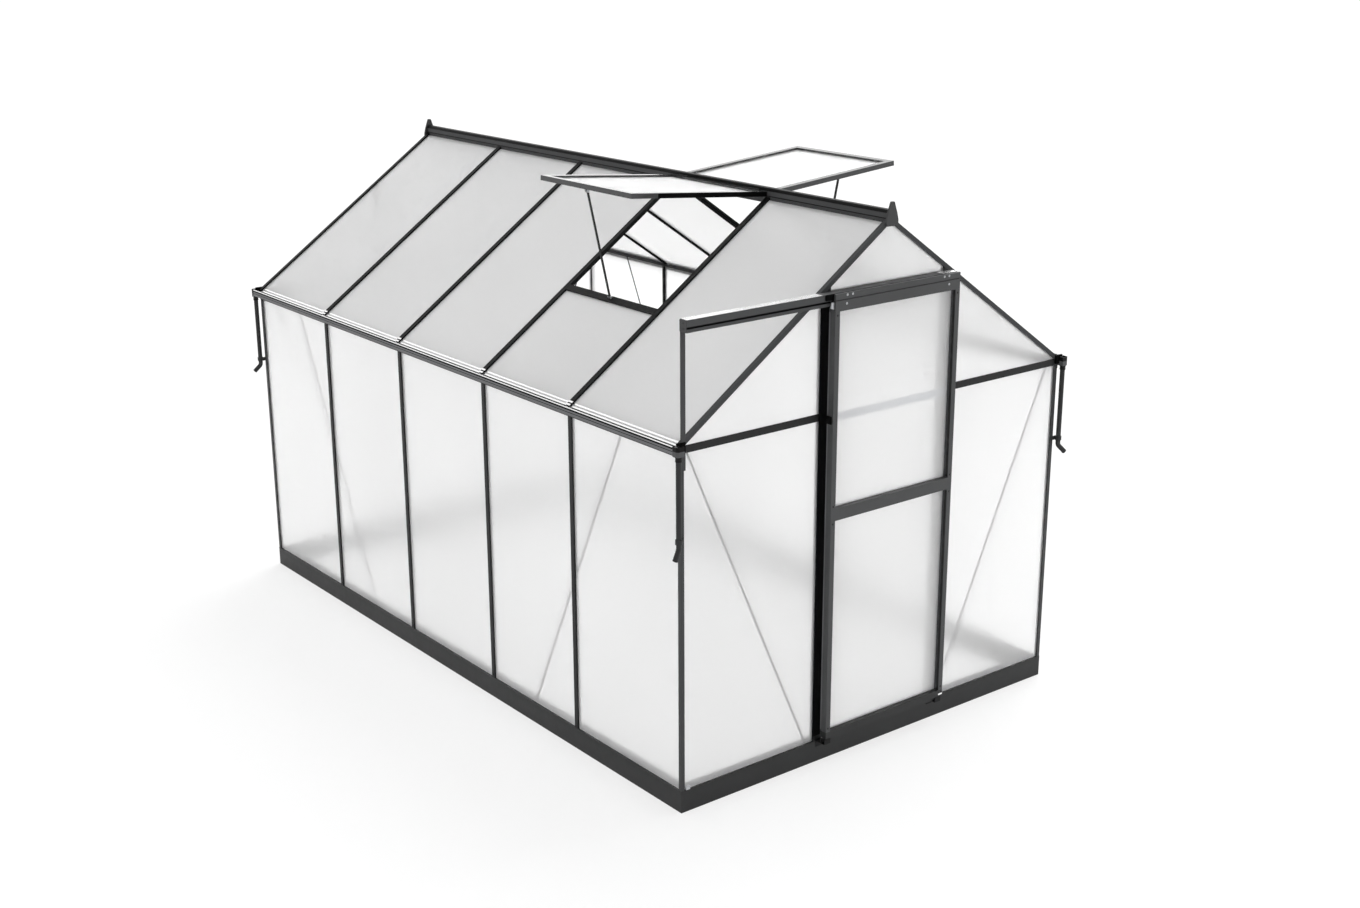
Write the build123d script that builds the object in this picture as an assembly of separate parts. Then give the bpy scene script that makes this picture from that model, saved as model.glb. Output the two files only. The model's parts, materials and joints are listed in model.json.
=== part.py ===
from build123d import *
import math
import os

# Overall size of the house, in millimetres
HOUSE_LENGTH = 3116.0
HOUSE_WIDTH = 1860.0
EAVE_HEIGHT = 1343.0
RIDGE_HEIGHT = 1988.5
VENT_BAY = 576.0
ORDINARY_BAYS = 4

# Glazing sheet and the slot that holds it
PANE_THICK = 4.0
PANE_PLAY = 0.2
EDGE_PLAY = 1.0
SEAT_GAP = 0.3
CUT = 50.0

# Glazing bars of the walls and the roof
WALL_CAP_WIDTH = 22.0
WALL_CAP_DEPTH = 6.0
ROOF_CAP_WIDTH = 25.0
ROOF_CAP_DEPTH = 7.0
CAP_CHAMFER = 1.5
NECK_WIDTH = 6.0
WALL_FLANGE_WIDTH = 16.0
ROOF_FLANGE_WIDTH = 9.0
FLANGE_DEPTH = 2.0
WALL_FIN_WIDTH = 8.0
ROOF_FIN_WIDTH = 5.0
FIN_DEPTH = 8.0

# Corner posts and gable rafters
CORNER_WEB = 1.0
CORNER_LAP = 3.5
RAFTER_WIDTH = 18.0

# Steel base frame
BASE_HEIGHT = 83.0
BASE_PROUD = 1.0
BASE_SHEET = 2.0
BASE_FLANGE = 46.0

# Eave beams, gutters and downpipes
EAVE_PLATE_DROP = 21.0
EAVE_PLATE_THICK = 4.0
EAVE_PLATE_LIP = 5.0
EAVE_WEB_THICK = 2.5
EAVE_WEB_HEIGHT = 26.0
GUTTER_WIDTH = 30.0
GUTTER_SHEET = 2.5
GUTTER_DROP = 8.0
GUTTER_HEIGHT = 28.0
GUTTER_BACK_CLEAR = 1.0
ROOF_BAR_OVERHANG = 3.0
PANE_OVERHANG = 12.0
END_CAP_LENGTH = 26.0
END_CAP_SHEET = 3.0
END_CAP_CORNER = 10.0
END_CAP_DEEPER = 6.0
PIPE_RADIUS = 9.5
PIPE_BORE = 7.5
PIPE_FROM_GABLE = 13.0
PIPE_STRAIGHT = 323.0
PIPE_SPOUT_DROP = 30.0
PIPE_KICK_OUT = 26.0
PIPE_KICK_FRONT = 13.0
PIPE_BEND_RADIUS = 20.0
CLIP_RISE = 28.0
CLIP_TALL = 16.0
CLIP_WALL = 3.0
CLIP_LAP = 12.0

# Ridge
RIDGE_HALF = 14.0
RIDGE_SHEET = 3.0
RIDGE_SIDE_RISE = 12.5
RIDGE_SIDE_DROP = 32.0
CREST_WIDTH = 24.0
CREST_RISE = 12.0
CREST_ROUND = 4.0
RIDGE_GROOVE_DROP = 4.5
RIDGE_GROOVE_TALL = 4.5
RIDGE_GROOVE_DEEP = 1.5
FINIAL_THICK = 8.0
FINIAL_FOOT_WIDTH = 56.0
FINIAL_FOOT_DROP = 31.5
FINIAL_HIP_DROP = 12.0
FINIAL_WAIST_WIDTH = 43.0
FINIAL_WAIST_RISE = 13.0
FINIAL_NECK_WIDTH = 31.0
FINIAL_NECK_RISE = 29.0
FINIAL_TIP_WIDTH = 14.0
FINIAL_TIP_RISE = 53.0
FINIAL_EDGE = 4.0

# Gable walls
GABLE_BAR_DROP = 21.0
GABLE_BAR_TALL = 26.0
DOOR_CLEAR_WIDTH = 552.0
DOOR_POST_WIDTH = 40.0
BACK_POST_SPACING = 614.0

# Roof vents, held open on a prop
VENT_SILL_DOWN = 667.0
VENT_SILL_WIDTH = 28.0
VENT_LENGTH = 632.0
VENT_RISE_ANGLE = 5.06
VENT_HINGE_RISE = 1.0
VENT_FRAME_THICK = 19.0
VENT_RAIL_WIDTH = 26.0
VENT_SIDE_CLEAR = 4.0
VENT_SLOT_DEPTH = 9.0
PROP_WIDTH = 10.0
PROP_THICK = 4.0

# Diagonal braces
BRACE_WIDTH = 6.5
BRACE_THICK = 2.0
SIDE_BRACE_TOP_INSET = 340.0
SIDE_BRACE_FOOT_INSET = 930.0
GABLE_BRACE_TOP_INSET = 34.0
GABLE_BRACE_FOOT_GAP = 24.0

# Door track
TRACK_HEAD_GAP = 14.5
TRACK_TALL = 42.0
TRACK_DEEP = 35.0
TRACK_SHEET = 3.0
TRACK_LIP = 11.0
TRACK_GROOVE = 6.0
TRACK_END_REACH = 3.0
STRUT_WIDTH = 18.0
STRUT_THICK = 5.0
STRUT_LAP = 70.0

# Sliding door
DOOR_SIDE_LAP = 27.0
DOOR_BOTTOM = 110.0
DOOR_TRACK_LAP = 19.0
DOOR_FRONT_OFFSET = 54.0
DOOR_DEEP = 31.0
STILE_WIDTH = 21.0
DOOR_PANE_SETBACK = 22.0
DOOR_SLOT_DEPTH = 8.0
BOTTOM_RAIL_TALL = 25.0
MID_RAIL_RISE = 840.0
MID_RAIL_TALL = 45.0
TOP_RAIL_TALL = 37.0
TOP_RAIL_DEEP = 14.0
TRACK_CLEAR = 6.0
HANGER_TALL = 24.0
HANGER_DEEP = 8.0
HANGER_GROOVE = 4.0
ROLLER_INSET = 50.0
ROLLER_THICK = 12.0
AXLE_RADIUS = 2.0
ROLLER_GROOVE = 2.0
STIFFENER_TALL = 28.0
FIN_GUIDE_THICK = 4.0
FIN_GUIDE_TALL = 18.0
GUIDE_SIDE_CLEAR = 5.0
GUIDE_SHEET = 2.0
GUIDE_LENGTH = 30.0
GUIDE_WALL_TALL = 20.0
GUIDE_FLOOR_CLEAR = 6.0
GUIDE_FOOT_TALL = 26.0

# Places that follow from the sizes above
HALF_LENGTH = HOUSE_LENGTH / 2
HALF_WIDTH = HOUSE_WIDTH / 2
BAY = (HOUSE_LENGTH - VENT_BAY) / ORDINARY_BAYS
VENT_FRONT_LINE = BAY - HALF_LENGTH
VENT_BACK_LINE = VENT_FRONT_LINE + VENT_BAY
BAR_LINES = [VENT_FRONT_LINE, VENT_BACK_LINE, VENT_BACK_LINE + BAY, HALF_LENGTH - BAY]
SLOPE = math.atan2(RIDGE_HEIGHT - EAVE_HEIGHT, HALF_WIDTH)
SLOPE_COS = math.cos(SLOPE)
SLOPE_TAN = math.tan(SLOPE)
SLOT = PANE_THICK + 2 * PANE_PLAY
WALL_BAR_DEPTH = WALL_CAP_DEPTH + SLOT + FLANGE_DEPTH + FIN_DEPTH
ROOF_BAR_DEPTH = ROOF_CAP_DEPTH + SLOT + FLANGE_DEPTH + FIN_DEPTH
WALL_ROOT = WALL_CAP_DEPTH + SLOT + CORNER_WEB
ROOF_ROOT = ROOF_CAP_DEPTH + SLOT + CORNER_WEB
CORNER_DEPTH = WALL_ROOT + CORNER_LAP
RAFTER_DEPTH = ROOF_ROOT + CORNER_LAP
PLATE_TOP = EAVE_HEIGHT - EAVE_PLATE_DROP
PLATE_BOTTOM = PLATE_TOP - EAVE_PLATE_THICK
PLATE_REACH = WALL_BAR_DEPTH + BRACE_THICK + EAVE_PLATE_LIP
GUTTER_FLOOR = PLATE_TOP - GUTTER_DROP
DOOR_POST_OUTER = DOOR_CLEAR_WIDTH / 2 + DOOR_POST_WIDTH
DOOR_FRONT = -HALF_LENGTH - DOOR_FRONT_OFFSET
DOOR_BACK = DOOR_FRONT + DOOR_DEEP
DOOR_HALF = DOOR_CLEAR_WIDTH / 2 + DOOR_SIDE_LAP
TRACK_RIGHT_END = DOOR_HALF + TRACK_END_REACH
RAFTER_FALL = RAFTER_DEPTH / SLOPE_COS
RAFTER_OVER_DOOR = EAVE_HEIGHT + (HALF_WIDTH - DOOR_CLEAR_WIDTH / 2) * SLOPE_TAN - RAFTER_FALL
TRACK_TOP = RAFTER_OVER_DOOR - TRACK_HEAD_GAP
TRACK_BOTTOM = TRACK_TOP - TRACK_TALL
DOOR_TOP = TRACK_BOTTOM + DOOR_TRACK_LAP
MID_RAIL_BOTTOM = DOOR_BOTTOM + MID_RAIL_RISE
GABLE_BAR_HEIGHT = EAVE_HEIGHT - GABLE_BAR_DROP
TRACK_FRONT = -HALF_LENGTH - TRACK_DEEP
PIPE_OUT = EAVE_WEB_THICK + GUTTER_WIDTH / 2
ROOF_LENGTH = (HALF_WIDTH - RIDGE_HALF) / SLOPE_COS
SILL_LINE = HALF_WIDTH / SLOPE_COS - VENT_SILL_DOWN + VENT_SILL_WIDTH / 2
SPOUT_LENGTH = math.hypot(PIPE_KICK_OUT, PIPE_KICK_FRONT, PIPE_SPOUT_DROP)
SPOUT_TILT = math.asin(PIPE_KICK_FRONT / SPOUT_LENGTH)
SPOUT_REACH = PIPE_FROM_GABLE + PIPE_KICK_FRONT + PIPE_RADIUS * math.cos(SPOUT_TILT)
PLAN_SHIFT = (DOOR_FRONT_OFFSET - SPOUT_REACH) / 2

# Left roof slope: x runs up the slope, y along the house, z out of the roof
LEFT_SLOPE = Plane(
    origin=(-HALF_WIDTH, 0, EAVE_HEIGHT),
    x_dir=(math.cos(SLOPE), 0, math.sin(SLOPE)),
    z_dir=(-math.sin(SLOPE), 0, math.cos(SLOPE)),
)


def block(x0, x1, y0, y1, z0, z1):
    """A box between two corners."""
    corner = (Align.MIN, Align.MIN, Align.MIN)
    return Pos(x0, y0, z0) * Box(x1 - x0, y1 - y0, z1 - z0, align=corner)


def rect(x0, x1, y0, y1):
    """A flat rectangle between two corners."""
    return Pos(x0, y0) * Rectangle(x1 - x0, y1 - y0, align=(Align.MIN, Align.MIN))


def outline(points):
    """A flat face with straight edges."""
    return Polygon(*points, align=None)


def along_y(face, y0, y1):
    """Extrude a face drawn in x and z from y0 to y1."""
    place = Plane(origin=(0, y0, 0), x_dir=(1, 0, 0), z_dir=(0, -1, 0))
    return extrude(place * face, y1 - y0, dir=(0, 1, 0))


def along_x(face, x0, x1):
    """Extrude a face drawn in y and z from x0 to x1."""
    place = Plane(origin=(x0, 0, 0), x_dir=(0, 1, 0), z_dir=(1, 0, 0))
    return extrude(place * face, x1 - x0, dir=(1, 0, 0))


def along_z(face, z0, z1):
    """Extrude a face drawn in x and y from z0 to z1."""
    return extrude(Plane(origin=(0, 0, z0)) * face, z1 - z0, dir=(0, 0, 1))


def to_right(shapes):
    """The same pieces on the right side of the house."""
    return [mirror(shape, about=Plane.YZ) for shape in shapes]


def to_back(shapes):
    """The same pieces at the back of the house."""
    return [mirror(shape, about=Plane.XZ) for shape in shapes]


def bar_section(cap_width, cap_depth, flange_width, fin_width):
    """Glazing bar: outer cap, neck between the pane slots, inner flange and fin, facing +y."""
    slot_end = cap_depth + SLOT
    flange_end = slot_end + FLANGE_DEPTH
    half = [
        (cap_width / 2 - CAP_CHAMFER, 0),
        (cap_width / 2, -CAP_CHAMFER),
        (cap_width / 2, -cap_depth),
        (NECK_WIDTH / 2, -cap_depth),
        (NECK_WIDTH / 2, -slot_end),
        (flange_width / 2, -slot_end),
        (flange_width / 2, -flange_end),
        (fin_width / 2, -flange_end),
        (fin_width / 2, -flange_end - FIN_DEPTH),
    ]
    return outline(half + [(-x, y) for x, y in reversed(half)])


def corner_section(depth_a, lip_a, root_a, depth_b, lip_b, root_b):
    """Corner bar with a pane slot in each inner side, from its outer corner at the origin."""
    section = rect(0, depth_a, 0, depth_b)
    section -= rect(lip_a, lip_a + SLOT, root_b, depth_b)
    section -= rect(root_a, depth_a, lip_b, lip_b + SLOT)
    return section


def under_roof(drop, y0, y1):
    """Everything between the ground and a line set in from the outer roof faces."""
    fall = drop / SLOPE_COS
    points = [
        (-HALF_WIDTH, 0),
        (HALF_WIDTH, 0),
        (HALF_WIDTH, EAVE_HEIGHT - fall),
        (0, RIDGE_HEIGHT - fall),
        (-HALF_WIDTH, EAVE_HEIGHT - fall),
    ]
    return along_y(outline(points), y0, y1)


def base_rails():
    """Mitred channel rails that the house stands on."""
    half_x = HALF_WIDTH + BASE_PROUD
    half_y = HALF_LENGTH + BASE_PROUD

    def channel(outer):
        section = rect(outer, outer + BASE_FLANGE, 0, BASE_HEIGHT)
        section -= rect(outer + BASE_SHEET, outer + BASE_FLANGE, BASE_SHEET, BASE_HEIGHT - BASE_SHEET)
        return section

    front_plan = outline([
        (-half_x, -half_y),
        (half_x, -half_y),
        (half_x - BASE_FLANGE, BASE_FLANGE - half_y),
        (BASE_FLANGE - half_x, BASE_FLANGE - half_y),
    ])
    left_plan = outline([
        (-half_x, -half_y),
        (BASE_FLANGE - half_x, BASE_FLANGE - half_y),
        (BASE_FLANGE - half_x, half_y - BASE_FLANGE),
        (-half_x, half_y),
    ])
    front = along_x(channel(-half_y), -half_x, half_x) & along_z(front_plan, 0, BASE_HEIGHT)
    left = along_y(channel(-half_x), -half_y, half_y) & along_z(left_plan, 0, BASE_HEIGHT)
    return {
        "base_front_rail": [front],
        "base_back_rail": to_back([front]),
        "base_left_rail": [left],
        "base_right_rail": to_right([left]),
    }


def corner_posts():
    """Four posts, cut off under the slope of the gable rafters."""
    section = corner_section(
        CORNER_DEPTH, WALL_CAP_DEPTH, WALL_ROOT, CORNER_DEPTH, WALL_CAP_DEPTH, WALL_ROOT)
    post = Pos(-HALF_WIDTH, -HALF_LENGTH) * along_z(section, BASE_HEIGHT, EAVE_HEIGHT)
    post &= under_roof(RAFTER_DEPTH, -HALF_LENGTH, HALF_LENGTH)
    fronts = [post] + to_right([post])
    return {"corner_posts": fronts + to_back(fronts)}


def side_walls():
    """Posts, panes and braces of the two long walls."""
    section = Rot(0, 0, 90) * bar_section(WALL_CAP_WIDTH, WALL_CAP_DEPTH, WALL_FLANGE_WIDTH, WALL_FIN_WIDTH)
    posts = []
    for line in BAR_LINES:
        posts.append(Pos(-HALF_WIDTH, line) * along_z(section, BASE_HEIGHT, PLATE_BOTTOM))

    edge = NECK_WIDTH / 2 + EDGE_PLAY
    corner_edge = WALL_ROOT + EDGE_PLAY
    starts = [corner_edge - HALF_LENGTH] + [line + edge for line in BAR_LINES]
    ends = [line - edge for line in BAR_LINES] + [HALF_LENGTH - corner_edge]
    pane_x = WALL_CAP_DEPTH + PANE_PLAY - HALF_WIDTH
    panes = []
    for start, end in zip(starts, ends):
        panes.append(block(pane_x, pane_x + PANE_THICK, start, end,
                           BASE_HEIGHT + SEAT_GAP, PLATE_BOTTOM - SEAT_GAP))

    top = HALF_LENGTH - SIDE_BRACE_TOP_INSET
    foot = HALF_LENGTH - SIDE_BRACE_FOOT_INSET
    spread = BRACE_WIDTH / 2 / math.sin(math.atan2(PLATE_BOTTOM - BASE_HEIGHT, top - foot))
    slant = outline([
        (foot - spread, BASE_HEIGHT),
        (foot + spread, BASE_HEIGHT),
        (top + spread, PLATE_BOTTOM),
        (top - spread, PLATE_BOTTOM),
    ])
    brace_x = WALL_BAR_DEPTH - HALF_WIDTH
    brace = along_x(slant, brace_x, brace_x + BRACE_THICK)
    left_braces = [brace] + to_back([brace])
    return {
        "left_wall_posts": posts,
        "right_wall_posts": to_right(posts),
        "left_wall_panes": panes,
        "right_wall_panes": to_right(panes),
        "side_wall_braces": left_braces + to_right(left_braces),
    }


def eaves():
    """Eave beams on the wall posts, with gutters, end caps and downpipes outside them."""
    plate = rect(-HALF_WIDTH - EAVE_WEB_THICK, PLATE_REACH - HALF_WIDTH, PLATE_BOTTOM, PLATE_TOP)
    web = rect(-HALF_WIDTH - EAVE_WEB_THICK, -HALF_WIDTH, PLATE_TOP - EAVE_WEB_HEIGHT, PLATE_TOP)
    inner_end = HALF_LENGTH - WALL_BAR_DEPTH - SEAT_GAP
    beam = along_y(plate, -inner_end, inner_end) + along_y(web, -HALF_LENGTH, HALF_LENGTH)

    inner = -HALF_WIDTH - EAVE_WEB_THICK
    outer = inner - GUTTER_WIDTH
    floor = GUTTER_FLOOR
    rim = GUTTER_FLOOR + GUTTER_HEIGHT
    back_rim = PLATE_TOP - GUTTER_BACK_CLEAR
    trough = outline([
        (outer, floor),
        (inner, floor),
        (inner, back_rim),
        (inner - GUTTER_SHEET, back_rim),
        (inner - GUTTER_SHEET, floor + GUTTER_SHEET),
        (outer + GUTTER_SHEET, floor + GUTTER_SHEET),
        (outer + GUTTER_SHEET, rim),
        (outer, rim),
    ])
    gutter = along_y(trough, -HALF_LENGTH, HALF_LENGTH)

    pipe_x = -HALF_WIDTH - PIPE_OUT
    pipe_y = -HALF_LENGTH - PIPE_FROM_GABLE
    cap_floor = floor - END_CAP_DEEPER
    cap_front = -HALF_LENGTH - END_CAP_LENGTH
    cap_plan = rect(outer, inner, cap_front, -HALF_LENGTH)
    cap_plan = fillet(cap_plan.vertices().sort_by(Axis.Y)[:2].sort_by(Axis.X)[0], END_CAP_CORNER)
    well = rect(outer + END_CAP_SHEET, inner - END_CAP_SHEET, cap_front + END_CAP_SHEET, -HALF_LENGTH)
    well_corner = END_CAP_CORNER - END_CAP_SHEET
    well = fillet(well.vertices().sort_by(Axis.Y)[:2].sort_by(Axis.X)[0], well_corner)
    cap = along_z(cap_plan, cap_floor, rim) - along_z(well, cap_floor + END_CAP_SHEET, rim)
    cap -= Pos(pipe_x, pipe_y, cap_floor) * Cylinder(PIPE_BORE, CUT)

    bend = cap_floor - PIPE_STRAIGHT
    clip_z = bend + CLIP_RISE
    route = FilletPolyline(
        (pipe_x, pipe_y, cap_floor),
        (pipe_x, pipe_y, bend),
        (pipe_x - PIPE_KICK_OUT, pipe_y - PIPE_KICK_FRONT, bend - PIPE_SPOUT_DROP),
        radius=PIPE_BEND_RADIUS,
    )
    ring = Circle(PIPE_RADIUS) - Circle(PIPE_BORE)
    pipe = sweep(Plane(origin=route @ 0, z_dir=route % 0) * ring, path=route)
    clip_low = clip_z - CLIP_TALL / 2
    clip_high = clip_z + CLIP_TALL / 2
    clip = block(pipe_x - CLIP_WALL / 2, CLIP_LAP - HALF_WIDTH,
                 -HALF_LENGTH - CLIP_WALL, -HALF_LENGTH, clip_low, clip_high)
    clip += block(pipe_x - CLIP_WALL / 2, pipe_x + CLIP_WALL / 2,
                  pipe_y, -HALF_LENGTH, clip_low, clip_high)
    clip += Pos(pipe_x, pipe_y, clip_z) * Cylinder(PIPE_RADIUS + CLIP_WALL, CLIP_TALL)
    clip -= Pos(pipe_x, pipe_y, clip_z) * Cylinder(PIPE_RADIUS, CLIP_TALL)
    pipe += clip

    front_caps = [cap] + to_right([cap])
    front_pipes = [pipe] + to_right([pipe])
    return {
        "left_eave_beam": [beam],
        "right_eave_beam": to_right([beam]),
        "left_gutter": [gutter],
        "right_gutter": to_right([gutter]),
        "gutter_end_caps": front_caps + to_back(front_caps),
        "downpipes": front_pipes + to_back(front_pipes),
    }


def ridge():
    """Inverted channel along the ridge, with a raised crest and a finial at each end."""
    top = RIDGE_HEIGHT + RIDGE_SIDE_RISE
    low = RIDGE_HEIGHT - RIDGE_SIDE_DROP
    section = rect(-RIDGE_HALF, RIDGE_HALF, low, top)
    section -= rect(RIDGE_SHEET - RIDGE_HALF, RIDGE_HALF - RIDGE_SHEET, low, top - RIDGE_SHEET)
    section += rect(-CREST_WIDTH / 2, CREST_WIDTH / 2, top, top + CREST_RISE)
    groove = RIDGE_HEIGHT - RIDGE_GROOVE_DROP
    section -= rect(-RIDGE_HALF, RIDGE_GROOVE_DEEP - RIDGE_HALF, groove - RIDGE_GROOVE_TALL, groove)
    section -= rect(RIDGE_HALF - RIDGE_GROOVE_DEEP, RIDGE_HALF, groove - RIDGE_GROOVE_TALL, groove)
    bar = along_y(section, -HALF_LENGTH, HALF_LENGTH)
    crest_edges = bar.edges().filter_by(Axis.Y).group_by(Axis.Z)[-1]
    bar = fillet(crest_edges, CREST_ROUND)

    half = [
        (FINIAL_FOOT_WIDTH / 2, RIDGE_HEIGHT - FINIAL_FOOT_DROP),
        (FINIAL_FOOT_WIDTH / 2, RIDGE_HEIGHT - FINIAL_HIP_DROP),
        (FINIAL_WAIST_WIDTH / 2, RIDGE_HEIGHT + FINIAL_WAIST_RISE),
        (FINIAL_NECK_WIDTH / 2, RIDGE_HEIGHT + FINIAL_NECK_RISE),
        (FINIAL_TIP_WIDTH / 2, RIDGE_HEIGHT + FINIAL_TIP_RISE),
    ]
    face = outline(half + [(-x, z) for x, z in reversed(half)])
    face = fillet(face.vertices(), FINIAL_EDGE)
    finial = along_y(face, -HALF_LENGTH - FINIAL_THICK, -HALF_LENGTH)
    return {"ridge_bar": [bar], "ridge_finials": [finial] + to_back([finial])}


def roof():
    """Roof bars, gable rafters and roof panes of both slopes."""
    foot = -ROOF_BAR_OVERHANG / SLOPE_COS
    seat = block(-HALF_WIDTH - ROOF_BAR_OVERHANG, -RIDGE_HALF, -HALF_LENGTH - CUT, HALF_LENGTH + CUT,
                 PLATE_TOP, RIDGE_HEIGHT)
    overrun = ROOF_BAR_DEPTH
    section = bar_section(ROOF_CAP_WIDTH, ROOF_CAP_DEPTH, ROOF_FLANGE_WIDTH, ROOF_FIN_WIDTH)
    bars = []
    for line in BAR_LINES:
        bar = Pos(0, line, 0) * along_x(section, foot - overrun, ROOF_LENGTH + overrun)
        bars.append((LEFT_SLOPE.location * bar) & seat)

    rafter_face = corner_section(
        RAFTER_DEPTH, ROOF_CAP_DEPTH, ROOF_ROOT, RAFTER_WIDTH, WALL_CAP_DEPTH, WALL_ROOT)
    upright = Plane(origin=(foot - overrun, -HALF_LENGTH, 0), x_dir=(0, 0, -1), z_dir=(1, 0, 0))
    rafter = extrude(upright * rafter_face, ROOF_LENGTH - foot + 2 * overrun)
    rafter = (LEFT_SLOPE.location * rafter) & seat
    rafters = [rafter] + to_right([rafter])

    edge = NECK_WIDTH / 2 + EDGE_PLAY
    gable_edge = WALL_ROOT + EDGE_PLAY
    starts = [gable_edge - HALF_LENGTH] + [line + edge for line in BAR_LINES]
    ends = [line - edge for line in BAR_LINES] + [HALF_LENGTH - gable_edge]
    pane_out = -ROOF_CAP_DEPTH - PANE_PLAY
    pane_foot = -PANE_OVERHANG / SLOPE_COS
    pane_head = ROOF_LENGTH - (ROOF_CAP_DEPTH + SLOT) * SLOPE_TAN - SEAT_GAP
    panes = []
    for start, end in zip(starts, ends):
        head = pane_head
        if start > VENT_FRONT_LINE and end < VENT_BACK_LINE:
            head = SILL_LINE - VENT_SILL_WIDTH / 2 + DOOR_SLOT_DEPTH - EDGE_PLAY
        pane = block(pane_foot, head, start, end, pane_out - PANE_THICK, pane_out)
        panes.append(LEFT_SLOPE.location * pane)
    return {
        "left_roof_bars": bars,
        "right_roof_bars": to_right(bars),
        "gable_rafters": rafters + to_back(rafters),
        "left_roof_panes": panes,
        "right_roof_panes": to_right(panes),
    }


def vents():
    """Two roof vents over the vent bay, fixed open on their props."""
    sill_front = VENT_FRONT_LINE + ROOF_CAP_WIDTH / 2
    sill_back = VENT_BACK_LINE - ROOF_CAP_WIDTH / 2
    sill_low = SILL_LINE - VENT_SILL_WIDTH / 2
    sill_high = SILL_LINE + VENT_SILL_WIDTH / 2
    sill = block(sill_low, sill_high, sill_front, sill_back, -RAFTER_DEPTH, 0)
    sill -= block(sill_low, sill_low + DOOR_SLOT_DEPTH, sill_front, sill_back,
                  -ROOF_CAP_DEPTH - SLOT, -ROOF_CAP_DEPTH)
    sill = LEFT_SLOPE.location * sill

    rise = math.radians(VENT_RISE_ANGLE)
    hinge = Plane(
        origin=(-RIDGE_HALF - SEAT_GAP, 0, RIDGE_HEIGHT + VENT_HINGE_RISE),
        x_dir=(-math.cos(rise), 0, math.sin(rise)),
        z_dir=(math.sin(rise), 0, math.cos(rise)),
    )
    front = -VENT_BACK_LINE + VENT_SIDE_CLEAR
    back = -VENT_FRONT_LINE - VENT_SIDE_CLEAR
    low = -VENT_FRAME_THICK / 2
    high = VENT_FRAME_THICK / 2
    start = VENT_FRAME_THICK / 2 * math.tan(rise)
    rail = VENT_RAIL_WIDTH
    frame = block(start, VENT_LENGTH, front, back, low, high)
    frame -= block(start + rail, VENT_LENGTH - rail, front + rail, back - rail, low, high)
    slot = rail - VENT_SLOT_DEPTH
    frame -= block(start + slot, VENT_LENGTH - slot, front + slot, back - slot, -SLOT / 2, SLOT / 2)
    inset = slot + EDGE_PLAY
    pane = block(start + inset, VENT_LENGTH - inset, front + inset, back - inset,
                 -PANE_THICK / 2, PANE_THICK / 2)
    frame = hinge.location * frame
    pane = hinge.location * pane

    middle = (VENT_FRONT_LINE + VENT_BACK_LINE) / 2
    prop_top = hinge.from_local_coords(Vector(VENT_LENGTH - rail / 2, 0, low))
    prop_foot = LEFT_SLOPE.from_local_coords(Vector(SILL_LINE, 0, 0))
    reach = prop_top - prop_foot
    prop_plane = Plane(origin=(prop_foot.X, middle, prop_foot.Z), x_dir=(0, 1, 0),
                       z_dir=(reach.X, 0, reach.Z))
    length = math.hypot(reach.X, reach.Z)
    prop = prop_plane.location * block(-PROP_WIDTH / 2, PROP_WIDTH / 2, -PROP_THICK / 2, PROP_THICK / 2,
                                       -PROP_THICK, length + PROP_THICK)
    prop = (prop - frame - sill).solids().sort_by(SortBy.VOLUME)[-1]
    return {
        "vent_sills": [sill] + to_right([sill]),
        "left_vent_frame": [frame],
        "right_vent_frame": to_right([frame]),
        "vent_panes": [pane] + to_right([pane]),
        "vent_props": [prop] + to_right([prop]),
    }


def gable_bar(x0, x1):
    """A level glazing bar across the front gable, trimmed under the rafters."""
    section = Rot(0, 0, 90) * bar_section(GABLE_BAR_TALL, WALL_CAP_DEPTH, WALL_FLANGE_WIDTH, WALL_FIN_WIDTH)
    bar = Pos(0, -HALF_LENGTH, GABLE_BAR_HEIGHT) * along_x(section, x0, x1)
    return bar & under_roof(RAFTER_DEPTH, -HALF_LENGTH, HALF_LENGTH)


def gable_pane(x0, x1, z0, z1):
    """A pane of the front gable between four edges, trimmed inside the rafter slots."""
    pane_y = WALL_CAP_DEPTH + PANE_PLAY - HALF_LENGTH
    pane = block(x0, x1, pane_y, pane_y + PANE_THICK, z0, z1)
    return pane & under_roof(ROOF_ROOT + EDGE_PLAY, pane_y, pane_y + PANE_THICK)


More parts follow.
